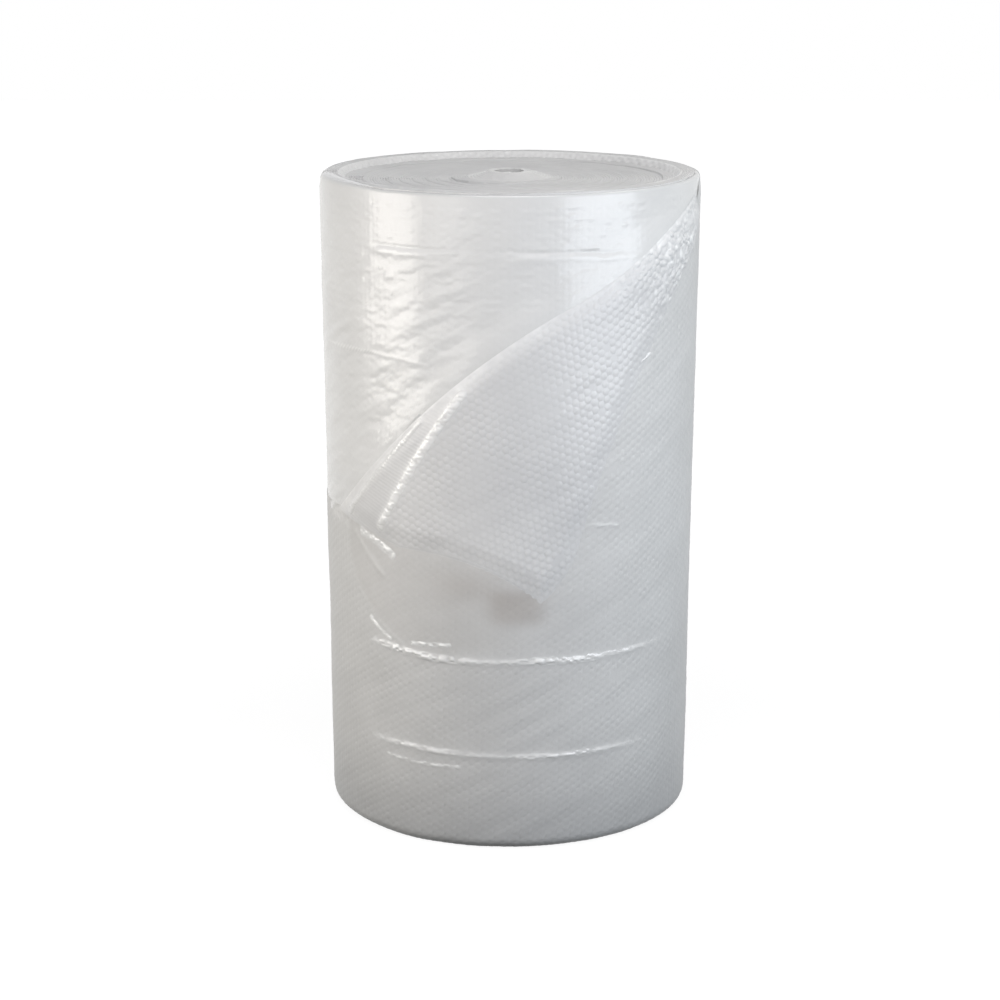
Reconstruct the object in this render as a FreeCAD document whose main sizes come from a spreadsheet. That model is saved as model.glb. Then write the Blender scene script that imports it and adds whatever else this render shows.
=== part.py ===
"""A roll of bubble wrap standing on its end, with the top corner of its last turn folded down as a dog-ear.

The web is wound without a core. Its turns are one solid, because they are one sheet pressed on itself.
+Z points up along the winding, the front with the dog-ear faces -Y, and the origin is where the winding's
axis meets the floor.

The outline is a spiral drawn with two centres, as a draughtsman draws one: each half turn is an arc of a
circle, and its centre jumps by half a sheet's thickness at the X axis. So the last turn ends at the left, at
-X, one sheet's thickness proud of the turn below it, and runs over the front, the right and the back.
"""
import FreeCAD, Part
import math
import os
import sys

import Sketcher
from FreeCAD import Vector

NODE = "bubble_wrap_roll"

SIZES = [
    # The winding
    ("roll_height", 1000.0, "width of the web, from floor to upper rim"),
    ("roll_radius", 293.2, "outside of the last turn at its end, near the upper rim"),
    ("foot_radius", 283.0, "the same near the floor, where the winding is tighter"),
    ("sheet_rise", 4.0, "thickness of one turn"),
    ("rim_round", 9.6, "rounding of the turns at the upper rim"),
    ("foot_round", 18.5, "rounding at the floor"),
    ("bore_radius", 22.0, "open middle of the winding"),
    ("joint_bite", 3.0, "how far each added layer is sunk into the winding to be one with it"),
    # The upper end
    ("rim_width", 30.0, "ring of outer turns that stand proud at the upper end"),
    ("end_recess", 9.0, "how far the turns inside that ring have sunk"),
    ("heart_radius", 60.0, "foot of the first turns, which have crept up as a cone"),
    ("heart_top_radius", 34.0, "top of that cone"),
    ("heart_rise", 8.5, "height of that cone over the sunken turns"),
    # The lower end
    ("tread_width", 48.0, "ring of outer turns that the roll stands on"),
    # The turns that show at both ends
    ("turn_count", 8, "grooves of the spiral between the heart and the ring"),
    ("turn_depth", 5.5, "depth of the grooves"),
    # The fold, from its left end over its middle to the upper right rim
    ("fold_left_x", -262.0, "left end of the fold"),
    ("fold_left_z", 496.0, ""),
    ("fold_mid_x", 80.0, "where the fold's bend turns over"),
    ("fold_mid_z", 830.0, ""),
    ("fold_right_x", 280.0, "right end of the fold"),
    ("fold_right_z", 976.0, ""),
    ("fold_left_bend", 850.0, "radius of the fold's arched stretch"),
    ("fold_right_bend", 700.0, "radius of its hollow stretch"),
    ("opening_rise", 8.0, "how much higher the last turn's edge is at the far left"),
    # The dog-ear
    ("flap_rise", 5.0, "thickness of the folded-down corner"),
    ("hem_bevel", 3.0, "bevel along the fold, where the film turns over"),
    ("flap_end_x", 288.5, "where the dog-ear goes round to the right side"),
    ("flap_end_z", 948.0, ""),
    ("flap_right_x", 284.0, "upper end of the dog-ear's right edge"),
    ("flap_right_z", 905.0, ""),
    ("flap_turn_x", 96.0, "lower end of that edge"),
    ("flap_turn_z", 455.0, ""),
    ("flap_corner_x", 46.0, "the web's own corner, folded down"),
    ("flap_corner_z", 390.0, ""),
    ("flap_low_x", -164.0, "left end of the dog-ear's lower edge"),
    ("flap_low_z", 464.0, ""),
    ("flap_right_bend", 1990.0, "radius of the hollow right edge"),
    ("flap_corner_bend", 190.0, "radius of the rounded corner"),
    ("flap_low_bend", 290.0, "radius of the arched lower edge"),
    # The creases
    ("crease_width", 9.0, "width of a crease at its middle"),
    ("crease_rise", 2.4, "height of a crease"),
]

# Each crease runs from one end to the other in the front view and bows up by the last value.
CREASES = {
    "smooth_turn": [
        ("upper_ridge", -196.0, 909.0, 190.0, 905.0, 3.0),
    ],
    "last_turn": [
        ("middle_ridge", -122.0, 307.0, 208.0, 314.0, -2.0),
        ("lower_ridge", -210.0, 157.0, 220.0, 152.0, -5.0),
        ("tail_curve", -238.0, 462.0, -92.0, 307.0, -46.0),
        ("corner_crease", -243.0, 484.0, -170.0, 440.0, 4.0),
    ],
    "dog_ear": [
        ("right_pleat", 12.0, 772.0, -198.0, 487.0, 22.0),
        ("left_pleat", -104.0, 676.0, -240.0, 504.0, 6.0),
    ],
}


def make_sizes(doc):
    """The sheet that holds every driving size under its own name."""
    sheet = doc.addObject("Spreadsheet::Sheet", "Sizes")
    rows = list(SIZES)
    for creases in CREASES.values():
        for name, x1, z1, x2, z2, bow in creases:
            rows += [
                (name + "_from_x", x1, "first end of this crease"),
                (name + "_from_z", z1, ""),
                (name + "_to_x", x2, "its other end"),
                (name + "_to_z", z2, ""),
                (name + "_bow", bow, "how far it bows up at its middle"),
            ]
    for row, (alias, value, meaning) in enumerate(rows, start=1):
        sheet.set("A%d" % row, alias)
        sheet.set("B%d" % row, str(value))
        sheet.setAlias("B%d" % row, alias)
        if meaning:
            sheet.set("C%d" % row, meaning)
    doc.recompute()
    return sheet


class Sizes:
    """Reads a formula's value from the sheet, with the names of the cells in it."""

    def __init__(self, doc):
        self.sheet = make_sizes(doc)

    def value(self, formula):
        """A formula is a number, or text in which @name stands for a cell."""
        if not isinstance(formula, str):
            return float(formula)
        found = self.sheet.evalExpression(self.bound(formula, ""))
        return float(getattr(found, "Value", found))

    @staticmethod
    def bound(formula, sheet="Sizes."):
        return formula.replace("@", sheet)


def origin_part(body, role):
    return next(f for f in body.Origin.OriginFeatures if f.Role == role)


def new_body(doc, name):
    body = doc.addObject("PartDesign::Body", name)
    body.Label = name
    return body


def new_sketch(body, name, plane="XZ_Plane", shift=None):
    """A sketch on one of the body's own planes, moved along X by the formula shift."""
    sketch = body.newObject("Sketcher::SketchObject", name)
    sketch.AttachmentSupport = (origin_part(body, plane), [""])
    sketch.MapMode = "FlatFace"
    if shift:
        sketch.setExpression("AttachmentOffset.Base.x", Sizes.bound(shift))
    return sketch


def bulge_centre(start, end, radius, side):
    """Centre of the arc from start to end that bows to the left of its way (side 1) or to the right (-1)."""
    way = end - start
    half = way.Length / 2
    left = Vector(-way.y, way.x, 0).normalize()
    reach = math.sqrt(max(radius * radius - half * half, 0.0))
    return start + way * 0.5 - left * (side * reach)


def draw(sketch, sizes, corners):
    """Closes one outline over corners, each (x, z, bend). bend is None for a straight run to the next corner, or
    (radius, side) for an arc that bows to the left (1) or the right (-1) of the way there."""
    spots = [Vector(sizes.value(x), sizes.value(z), 0) for x, z, _ in corners]
    ends = []
    for i, (_, _, bend) in enumerate(corners):
        start, end = spots[i], spots[(i + 1) % len(spots)]
        if bend is None:
            index = sketch.addGeometry(Part.LineSegment(start, end))
            ends.append((index, 1, 2))
            continue
        radius, side = sizes.value(bend[0]), bend[1]
        centre = bulge_centre(start, end, radius, side)
        first, last = (end, start) if side > 0 else (start, end)
        angles = [math.atan2(p.y - centre.y, p.x - centre.x) for p in (first, last)]
        circle = Part.Circle(centre, Vector(0, 0, 1), radius)
        index = sketch.addGeometry(Part.ArcOfCircle(circle, *angles))
        ends.append((index, 2, 1) if side > 0 else (index, 1, 2))
        rule = sketch.addConstraint(Sketcher.Constraint("Radius", index, radius))
        sketch.setExpression("Constraints[%d]" % rule, Sizes.bound(bend[0]))
    for i, (index, at_start, _) in enumerate(ends):
        before, _, at_end = ends[i - 1]
        sketch.addConstraint(Sketcher.Constraint("Coincident", before, at_end, index, at_start))
        for kind, formula, place in (
            ("DistanceX", corners[i][0], spots[i].x),
            ("DistanceY", corners[i][1], spots[i].y),
        ):
            rule = sketch.addConstraint(Sketcher.Constraint(kind, -1, 1, index, at_start, place))
            if isinstance(formula, str):
                sketch.setExpression("Constraints[%d]" % rule, Sizes.bound(formula))
    return sketch


def half_turn(body, kind, sketch, front):
    """Turns a sketch about its own upright axis, over the front half or the back half."""
    feature = body.newObject(kind, sketch.Name + "_turned")
    feature.Profile = sketch
    feature.ReferenceAxis = (sketch, ["V_Axis"])
    feature.Angle = 180
    feature.Reversed = front
    sketch.Visibility = False
    return feature


# The centres of the half turns, and the radius of each half turn of the outline about its own centre
FRONT_CENTRE = "-@sheet_rise / 4"
BACK_CENTRE = "@sheet_rise / 4"
BACK_IN = "0.75 * @sheet_rise"
LAST_IN = "0.25 * @sheet_rise"
SMOOTH_IN = "1.25 * @sheet_rise"

# Half way round a quarter circle, the arc stands off both of its tangents by this share of its radius
HALF_WAY = "(1 - sqrt(0.5))"


def wall_profile(sketch, sizes, inward, inner):
    """Half section of a layer: from the radius inner to the wall, which stands inward of the roll's own radius.
    The wall leans in towards the floor, and its rim and foot are rounded by two bevels each."""
    foot, rim = "(@foot_radius - %s)" % inward, "(@roll_radius - %s)" % inward
    return draw(sketch, sizes, [
        (inner, 0.0, None),
        ("%s - @foot_round" % foot, 0.0, None),
        ("%s - %s * @foot_round" % (foot, HALF_WAY), "%s * @foot_round" % HALF_WAY, None),
        (foot, "@foot_round", None),
        (rim, "@roll_height - @rim_round", None),
        ("%s - %s * @rim_round" % (rim, HALF_WAY), "@roll_height - %s * @rim_round" % HALF_WAY, None),
        ("%s - @rim_round" % rim, "@roll_height", None),
        (inner, "@roll_height", None),
    ])


def end_hollow(sketch, sizes):
    """Half section of what the sunken turns leave free at the upper end, between the ring and the heart."""
    floor, over = "@roll_height - @end_recess", "@roll_height + @rim_round"
    return draw(sketch, sizes, [
        ("@heart_radius", floor, None),
        ("@roll_radius - @rim_width - @end_recess", floor, None),
        ("@roll_radius - @rim_width", "@roll_height", None),
        ("@roll_radius - @rim_width", over, None),
        (0.0, over, None),
        (0.0, "%s + @heart_rise" % floor, None),
        ("@heart_top_radius", "%s + @heart_rise" % floor, None),
    ])


# Pitches of plain winding that the grooves leave free in all, and at the heart
FREE_PITCHES = 2
FREE_AT_HEART = 1.25

# How far the rake's teeth reach out of the end, and how far under it they meet, as shares of their depth
TEETH_OUT = 0.5
TEETH_MEET = 0.1


def groove_rake(sketch, sizes, upper, back):
    """The rake of saw teeth that cuts one half of each turn of the spiral into one end, from the heart to the
    ring. Each turn's edge leans up outwards and stands over the next one. The back half's turns lie half a
    pitch further in, about a centre half a pitch to the right."""
    count = int(sizes.value("@turn_count"))
    if upper:
        span = "(@roll_radius - @rim_width - @end_recess - @heart_radius)"
        floor, into, out_of = "(@roll_height - @end_recess)", "-", "+"
    else:
        span = "(@foot_radius - @tread_width - @heart_radius)"
        floor, into, out_of = "0 * @turn_depth", "+", "-"
    pitch = "%s / (@turn_count + %s)" % (span, FREE_PITCHES)
    start = "@heart_radius + %s * %s" % (FREE_AT_HEART, pitch)
    if back:
        start += " - 0.5 * %s" % pitch
    top = "%s %s %s * @turn_depth" % (floor, out_of, TEETH_OUT)
    peak = "%s %s %s * @turn_depth" % (floor, into, TEETH_MEET)
    valley = "%s %s @turn_depth" % (floor, into)
    corners = [(start, top, None)]
    for k in range(count):
        last = k == count - 1
        corners.append(("%s + %d * %s" % (start, k, pitch), valley, None))
        corners.append(("%s + %d * %s" % (start, k + 1, pitch), floor if last else peak, None))
    corners.append(("%s + %d * %s" % (start, count, pitch), top, None))
    draw(sketch, sizes, corners)
    sketch.setExpression(
        "AttachmentOffset.Base.x", Sizes.bound("%s %s / 4" % ("" if back else "-", pitch)).strip()
    )
    return sketch


def make_winding(doc, sizes):
    """The wound web: smooth turn at the front, last turn at the back, the turns' edges at both ends, the bore."""
    body = new_body(doc, "winding")
    front = new_sketch(body, "smooth_half", shift=FRONT_CENTRE)
    wall_profile(front, sizes, SMOOTH_IN, 0.0)
    half_turn(body, "PartDesign::Revolution", front, True)
    back = new_sketch(body, "back_half", shift=BACK_CENTRE)
    wall_profile(back, sizes, BACK_IN, 0.0)
    half_turn(body, "PartDesign::Revolution", back, False)
    hollow = end_hollow(new_sketch(body, "upper_hollow"), sizes)
    sunk = body.newObject("PartDesign::Groove", "upper_end")
    sunk.Profile = hollow
    sunk.ReferenceAxis = (hollow, ["V_Axis"])
    sunk.Angle = 360
    for upper, end in ((True, "upper"), (False, "lower")):
        for back_half, half in ((False, "front"), (True, "back")):
            rake = new_sketch(body, "%s_%s_rake" % (end, half))
            groove_rake(rake, sizes, upper, back_half)
            half_turn(body, "PartDesign::Groove", rake, not back_half)
    circle = new_sketch(body, "bore_circle", plane="XY_Plane")
    index = circle.addGeometry(Part.Circle(Vector(0, 0, 0), Vector(0, 0, 1), sizes.value("@bore_radius")))
    circle.addConstraint(Sketcher.Constraint("Coincident", index, 3, -1, 1))
    rule = circle.addConstraint(Sketcher.Constraint("Radius", index, sizes.value("@bore_radius")))
    circle.setExpression("Constraints[%d]" % rule, "Sizes.bore_radius")
    bore = body.newObject("PartDesign::Pocket", "bore")
    bore.Profile = circle
    bore.Type = "ThroughAll"
    bore.Midplane = True
    return body


def make_layer(doc, sizes, name, inward):
    """A layer over the front half, sunk into the winding, whose outside stands inward of the roll's radius."""
    body = new_body(doc, name)
    strip = new_sketch(body, name + "_section", shift=FRONT_CENTRE)
    inner = "@foot_radius - %s - @foot_round - @sheet_rise - @joint_bite" % SMOOTH_IN
    wall_profile(strip, sizes, inward, inner)
    half_turn(body, "PartDesign::Revolution", strip, True)
    return body


FOLD = [
    ("@fold_left_x", "@fold_left_z", ("@fold_left_bend", 1)),
    ("@fold_mid_x", "@fold_mid_z", ("@fold_right_bend", -1)),
    ("@fold_right_x", "@fold_right_z", None),
]


def make_last_turn(doc, sizes):
    """The last turn over the front, open above the fold, where the smooth turn below it shows."""
    body = make_layer(doc, sizes, "last_turn", LAST_IN)
    opening = new_sketch(body, "opening")
    past = "@roll_radius + @joint_bite"
    over = "@roll_height + @rim_round"
    draw(opening, sizes, [("-(%s)" % past, "@fold_left_z + @opening_rise", None)] + FOLD + [
        ("@fold_right_x + @rim_round", over, None),
        ("-(%s)" % past, over, None),
    ])
    pocket = body.newObject("PartDesign::Pocket", "folded_away")
    pocket.Profile = opening
    pocket.Type = "ThroughAll"
    pocket.Reversed = True
    return body


def make_front_cutter(doc, sizes, name, outlines):
    """A block as deep as the roll's front half, with the given outlines in the front view."""
    body = new_body(doc, name)
    view = new_sketch(body, name + "_outline")
    for outline in outlines:
        draw(view, sizes, outline)
    pad = body.newObject("PartDesign::Pad", name + "_block")
    pad.Profile = view
    pad.setExpression("Length", "Sizes.roll_radius + Sizes.flap_rise + Sizes.rim_round")
    return body


def common(doc, name, layer, block):
    kept = doc.addObject("Part::Common", name)
    kept.Base = layer
    kept.Tool = block
    kept.Refine = True
    return kept


def crease_outline(sizes, name):
    """A crease is a lens between two arcs, which share its ends and bow by half its width more and less."""
    x1, z1, x2, z2, bow = ("@%s_%s" % (name, what) for what in ("from_x", "from_z", "to_x", "to_z", "bow"))
    chord = "((%s - %s)^2 + (%s - %s)^2)" % (x2, x1, z2, z1)
    rightward = 1 if sizes.value(x2) > sizes.value(x1) else -1
    sides = []
    for half in ("+ @crease_width / 2", "- @crease_width / 2"):
        sag = "(%s %s)" % (bow, half)
        up = 1 if sizes.value(sag) > 0 else -1
        size = sag if up > 0 else "(-%s)" % sag
        sides.append(("%s / (8 * %s) + %s / 2" % (chord, size, size), up * rightward))
    (outer, outer_side), (inner, inner_side) = sides
    return [(x1, z1, (outer, outer_side)), (x2, z2, (inner, -inner_side))]


def make_dog_ear(doc, sizes):
    """The corner of the web that hangs down over the front, two layers of film thick at its rounded fold."""
    layer = make_layer(doc, sizes, "dog_ear_layer", "(%s - @flap_rise)" % LAST_IN)
    outline = FOLD + [
        ("@flap_end_x", "@flap_end_z", None),
        ("@flap_right_x", "@flap_right_z", ("@flap_right_bend", -1)),
        ("@flap_turn_x", "@flap_turn_z", ("@flap_corner_bend", 1)),
        ("@flap_corner_x", "@flap_corner_z", ("@flap_low_bend", -1)),
        ("@flap_low_x", "@flap_low_z", None),
    ]
    block = make_front_cutter(doc, sizes, "dog_ear_block", [outline])
    return bevel_hem(doc, sizes, common(doc, "dog_ear_cut", layer, block))


# An edge belongs to the fold if its middle lies this near to the fold's line, and it is at least this long
ON_FOLD = 0.2
FOLD_EDGE_LENGTH = 40.0

# The fold's outer edges lie within this many thicknesses of the flap from the farthest one
OUTER_BAND = 1.2


def bevel_hem(doc, sizes, flap):
    """Bevels the flap's outer edge along the fold, where the film turns over."""
    doc.recompute()
    guide = Part.Wire([
        bend_edge(sizes, FOLD[0], FOLD[1]),
        bend_edge(sizes, FOLD[1], FOLD[2]),
    ])
    outside = []
    for number, edge in enumerate(flap.Shape.Edges, start=1):
        middle = edge.valueAt(0.5 * (edge.FirstParameter + edge.LastParameter))
        seen = Part.Vertex(middle.x, middle.z, 0)
        if seen.distToShape(guide)[0] < ON_FOLD and edge.Length > FOLD_EDGE_LENGTH:
            outside.append((math.hypot(middle.x, middle.y), number))
    inner_limit = max(outside)[0] - OUTER_BAND * sizes.value("@flap_rise")
    hem = doc.addObject("Part::Chamfer", "dog_ear")
    hem.Base = flap
    size = sizes.value("@hem_bevel")
    hem.Edges = [(number, size, size) for far, number in outside if far > inner_limit]
    return hem


def bend_edge(sizes, corner, after):
    """The fold's run from one of its corners to the next, in the front view."""
    start, end = (Vector(sizes.value(c[0]), sizes.value(c[1]), 0) for c in (corner, after))
    radius, side = sizes.value(corner[2][0]), corner[2][1]
    centre = bulge_centre(start, end, radius, side)
    way = (start + end) * 0.5 - centre
    middle = centre + way.normalize() * radius
    return Part.Arc(start, middle, end).toShape()


def make_creases(doc, sizes, carrier, inward):
    """The creases of one layer, as low ridges over it."""
    layer = make_layer(doc, sizes, carrier + "_crease_layer", "(%s - @crease_rise)" % inward)
    outlines = [crease_outline(sizes, row[0]) for row in CREASES[carrier]]
    block = make_front_cutter(doc, sizes, carrier + "_crease_block", outlines)
    return common(doc, carrier + "_creases", layer, block)


def check(doc, roll):
    """Stops at anything that failed to build."""
    for thing in doc.Objects:
        bad = [state for state in thing.State if state in ("Invalid", "Error")]
        if bad:
            sys.exit("%s is %s" % (thing.Name, bad[0]))
    shape = roll.Shape
    if shape.isNull() or not shape.isValid() or len(shape.Solids) != 1:
        sys.exit("%s has no sound single solid" % roll.Label)


def main():
    doc = FreeCAD.newDocument("BubbleWrapRoll")
    sizes = Sizes(doc)
    pieces = [
        make_winding(doc, sizes),
        make_last_turn(doc, sizes),
        make_dog_ear(doc, sizes),
        make_creases(doc, sizes, "smooth_turn", SMOOTH_IN),
        make_creases(doc, sizes, "last_turn", LAST_IN),
        make_creases(doc, sizes, "dog_ear", "(%s - @flap_rise)" % LAST_IN),
    ]
    roll = doc.addObject("Part::MultiFuse", NODE)
    roll.Shapes = pieces
    roll.Refine = True
    roll.Label = NODE
    doc.recompute()
    check(doc, roll)
    os.makedirs("parts", exist_ok=True)
    roll.Shape.exportStep("parts/%s.step" % NODE)
    box = roll.Shape.BoundBox
    print("%s: %.1f x %.1f x %.1f mm, %.4f m3, %d faces" % (
        NODE, box.XLength, box.YLength, box.ZLength, roll.Shape.Volume / 1e9, len(roll.Shape.Faces)))


main()
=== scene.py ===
# %% [markdown]
# # A roll of bubble wrap, dressed for its picture
#
# The roll is one long web of film: a flat sheet with air bubbles sealed to one side of it, wound up without
# a core. The construction model gives its size and place. This lesson makes what the eye sees: the film
# pulled tight over its bubbles, the corner of the web that is folded down over the front with its bubbles
# outside, the edges of some sixty turns at each end, and a milky, glossy plastic.

# %% Load the frame
import math

import bpy
import numpy as np
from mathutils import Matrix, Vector


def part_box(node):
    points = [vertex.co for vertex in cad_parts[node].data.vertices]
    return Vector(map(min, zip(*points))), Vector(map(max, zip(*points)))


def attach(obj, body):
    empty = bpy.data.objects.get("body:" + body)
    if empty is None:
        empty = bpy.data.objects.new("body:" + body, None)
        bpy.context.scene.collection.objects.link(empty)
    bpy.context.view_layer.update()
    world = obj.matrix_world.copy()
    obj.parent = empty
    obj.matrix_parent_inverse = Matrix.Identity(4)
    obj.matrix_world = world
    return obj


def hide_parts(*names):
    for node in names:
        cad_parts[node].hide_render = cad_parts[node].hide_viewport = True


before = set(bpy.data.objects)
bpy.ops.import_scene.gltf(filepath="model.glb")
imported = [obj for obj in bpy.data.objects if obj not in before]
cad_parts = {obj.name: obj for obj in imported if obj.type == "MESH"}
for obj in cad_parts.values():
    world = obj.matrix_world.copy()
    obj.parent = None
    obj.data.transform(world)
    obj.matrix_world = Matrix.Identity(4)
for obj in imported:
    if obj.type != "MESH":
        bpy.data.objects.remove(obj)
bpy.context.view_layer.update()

NODE = "bubble_wrap_roll"
low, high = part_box(NODE)
print("the roll is", [round(high[k] - low[k], 3) for k in range(3)], "m")

# %% [markdown]
# ## The outline of the winding
#
# Every visible piece lies on the same form, so that form comes first. The wall of the roll leans in a
# little towards the floor and is rounded at both ends. Seen from above it is a spiral: from the end of the
# last turn, at the left, its radius shrinks by one sheet over each turn.

# %% Sizes of the winding
MM = 0.001
HEIGHT = high.z - low.z
FOOT_RADIUS = 283 * MM
ROLL_RADIUS = 293.2 * MM
BORE_RADIUS = 22 * MM
SHEET = 4 * MM
FOOT_ROUND = 18.5 * MM
RIM_ROUND = 6 * MM
TUCKED_IN = 12 * MM
TAIL = math.radians(-90)


def level_radius(angle, height, sunk=0.0):
    """Radius of the last turn at its outside, less sunk sheets."""
    share = np.clip((height - FOOT_ROUND) / (HEIGHT - RIM_ROUND - FOOT_ROUND), 0, 1)
    turn = (angle - TAIL) / (2 * math.pi)
    return FOOT_RADIUS + (ROLL_RADIUS - FOOT_RADIUS) * share - SHEET * (turn + sunk)


print("sheets between the middle and the outside:", int((ROLL_RADIUS - BORE_RADIUS) / SHEET))

# %% [markdown]
# A place on the wall is given by its angle from the front, to the right, and by its way along the wall: up
# from the floor, round the foot, up and over the rim. The wall's section is kept as a table, which numpy
# reads off between its rows, so that any grid of places can be laid on the wall at once.

# %% The wall as a table
ROUND_STEPS = 12


def quarter_round():
    """Angles over one rounded edge, from 0 to a right angle."""
    return [math.radians(90 * k / ROUND_STEPS) for k in range(ROUND_STEPS + 1)]


def wall_table():
    """Way along the wall, distance inside it, height, and the way that the wall faces, out and up."""
    rows = [(-TUCKED_IN, FOOT_ROUND + TUCKED_IN, 0.3 * MM, 0.0, -1.0)]
    for turn in quarter_round():
        rows.append((FOOT_ROUND * turn, FOOT_ROUND * (1 - math.sin(turn)), FOOT_ROUND * (1 - math.cos(turn)),
                     math.sin(turn), -math.cos(turn)))
    top = FOOT_ROUND * math.pi / 2 + HEIGHT - FOOT_ROUND - RIM_ROUND
    for turn in quarter_round():
        rows.append((top + RIM_ROUND * turn, RIM_ROUND * (1 - math.cos(turn)),
                     HEIGHT - RIM_ROUND + RIM_ROUND * math.sin(turn), math.cos(turn), math.sin(turn)))
    rim = top + RIM_ROUND * math.pi / 2
    rows.append((rim + TUCKED_IN, RIM_ROUND + TUCKED_IN, HEIGHT - 1 * MM, 0.0, 1.0))
    return np.array(rows).T


WALL = wall_table()
WALL_START, WALL_TOP, WALL_END = WALL[0, 0], WALL[0, -2], WALL[0, -1]
FOOT_WAY = FOOT_ROUND * (math.pi / 2 - 1)


def around_axis(radius, angle, height):
    """Points at a radius, an angle from the front and a height."""
    return np.stack(np.broadcast_arrays(radius * np.sin(angle), -radius * np.cos(angle), height), axis=-1)


def on_wall(angle, way, lift, sunk=0.0):
    """Points on the wall at angle and way, lifted off it."""
    inset, height, out, up = (np.interp(way, WALL[0], WALL[k]) for k in range(1, 5))
    return around_axis(level_radius(angle, height, sunk) - inset + lift * out, angle, height + lift * up)


print("way along the wall from floor to rim:", round(WALL_TOP, 3), "m")

# %% [markdown]
# ## Bubbles
#
# Small bubble wrap has bubbles of 10 mm, not quite 12 mm apart in staggered rows. On the real web each one
# is a dome of film full of air, and no two are quite alike: some are softer, a few have burst. A particle
# system or an array of domes would need far too many faces, so the domes are a height that is worked out at
# each point of the sheet: the nearest centre of the staggered rows, and a dome over the distance to it.

# %% Heights of bubbles
PITCH = 11.7 * MM
COLUMN = PITCH * math.sqrt(3) / 2
BUBBLE = 5.2 * MM
DRAWS = 256
BURST_SHARE, BURST_AIR, LEAST_AIR = 0.04, 0.15, 0.75
AIR = np.random.default_rng(11).random((DRAWS, DRAWS))


def bubbles(u, v, full=1.7):
    """Dome height from 0 to 1 at sheet place (u, v). A larger full makes flatter tops."""
    best, index = np.full(u.shape, 9.0), (np.zeros(u.shape, int), np.zeros(u.shape, int))
    first = np.floor(u / COLUMN).astype(int)
    for column in (first, first + 1):
        offset = 0.5 * (column % 2)
        row = np.round(v / PITCH - offset).astype(int)
        away = np.hypot(u - column * COLUMN, v - (row + offset) * PITCH)
        nearer = away < best
        best = np.where(nearer, away, best)
        index = tuple(np.where(nearer, new, old) for new, old in zip((column, row), index, strict=True))
    air = AIR[index[0] % DRAWS, index[1] % DRAWS]
    air = np.where(air < BURST_SHARE, BURST_AIR, LEAST_AIR + (1 - LEAST_AIR) * air)
    return air * np.clip(1 - (best / BUBBLE) ** full, 0, 1) ** 0.75


print("bubbles around the roll:", round(2 * math.pi * ROLL_RADIUS / COLUMN))

# %% [markdown]
# ## Slack and crinkles
#
# Film never lies quite flat. Blender's displacement could lay noise on a mesh too, but hills that are
# worked out here can be asked for at any place, so the same relief gives the points of a piece and the way
# that they face. Stretched and turned hills make crinkles, and small ones make the fuzz of crumpled film.

# %% Soft random relief
HILLS = 128


def waves(u, v, size_u, size_v, seed):
    """Soft random relief from -1 to 1, with hills about size_u by size_v large."""
    rng = np.random.default_rng(seed)
    hills = rng.uniform(-1, 1, (HILLS, HILLS))
    a, b = u / size_u, v / size_v
    i, j = np.floor(a).astype(int), np.floor(b).astype(int)
    s, t = a - i, b - j
    s, t = s * s * (3 - 2 * s), t * t * (3 - 2 * t)
    i, j = i % HILLS, j % HILLS
    right, above = (i + 1) % HILLS, (j + 1) % HILLS
    below_row = hills[i, j] * (1 - s) + hills[right, j] * s
    above_row = hills[i, above] * (1 - s) + hills[right, above] * s
    return below_row * (1 - t) + above_row * t


def turned(u, v, degrees):
    """The place (u, v) in axes turned by degrees."""
    c, s = math.cos(math.radians(degrees)), math.sin(math.radians(degrees))
    return u * c + v * s, v * c - u * s


print("random heights in one relief:", HILLS * HILLS)

# %% [markdown]
# ## Lines on the sheet
#
# The fold, the edges of the folded corner and the creases are given as the eye meets them, in the front
# view: a place is (to the right, up) in millimetres, and a bend is an arc between two places. One helper
# walks along the arcs, and another turns the walk into a line on the unrolled sheet.

# %% Walks along arcs
def arc(start, end, radius=None, side=1, steps=24):
    """Places from start to end, on an arc that bows to the left (1) or the right (-1) of the way there."""
    start, end = np.array(start, float), np.array(end, float)
    if radius is None:
        return start + (end - start) * np.linspace(0, 1, steps)[:, None]
    way = end - start
    half = math.hypot(*way) / 2
    left = np.array([-way[1], way[0]]) / (2 * half)
    centre = (start + end) / 2 - left * side * math.sqrt(radius * radius - half * half)
    from_angle = math.atan2(*(start - centre)[::-1])
    sweep = -side * 2 * math.asin(half / radius)
    angles = from_angle + sweep * np.linspace(0, 1, steps)
    return centre + radius * np.stack([np.cos(angles), np.sin(angles)], axis=-1)


def bowed(x1, z1, x2, z2, bow, steps=30):
    """Places from one end of a crease to the other, on an arc that bows up by bow."""
    half = math.hypot(x2 - x1, z2 - z1) / 2
    side = 1 if (bow > 0) == (x2 > x1) else -1
    return arc((x1, z1), (x2, z2), (half * half + bow * bow) / (2 * abs(bow)), side, steps)


def walk(*arcs):
    """Several arcs as one line of places, in metres on the unrolled sheet: along the roll's girth, and up."""
    seen = np.concatenate([arcs[0]] + [a[1:] for a in arcs[1:]]) * MM
    height = seen[:, 1]
    angle = np.arcsin(np.clip(seen[:, 0] / level_radius(0.0, height), -0.999, 0.999))
    return np.stack([angle * ROLL_RADIUS, height + FOOT_WAY], axis=-1)


def girth(degrees):
    """Way along the girth from the front to an angle."""
    return math.radians(degrees) * ROLL_RADIUS


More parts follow.
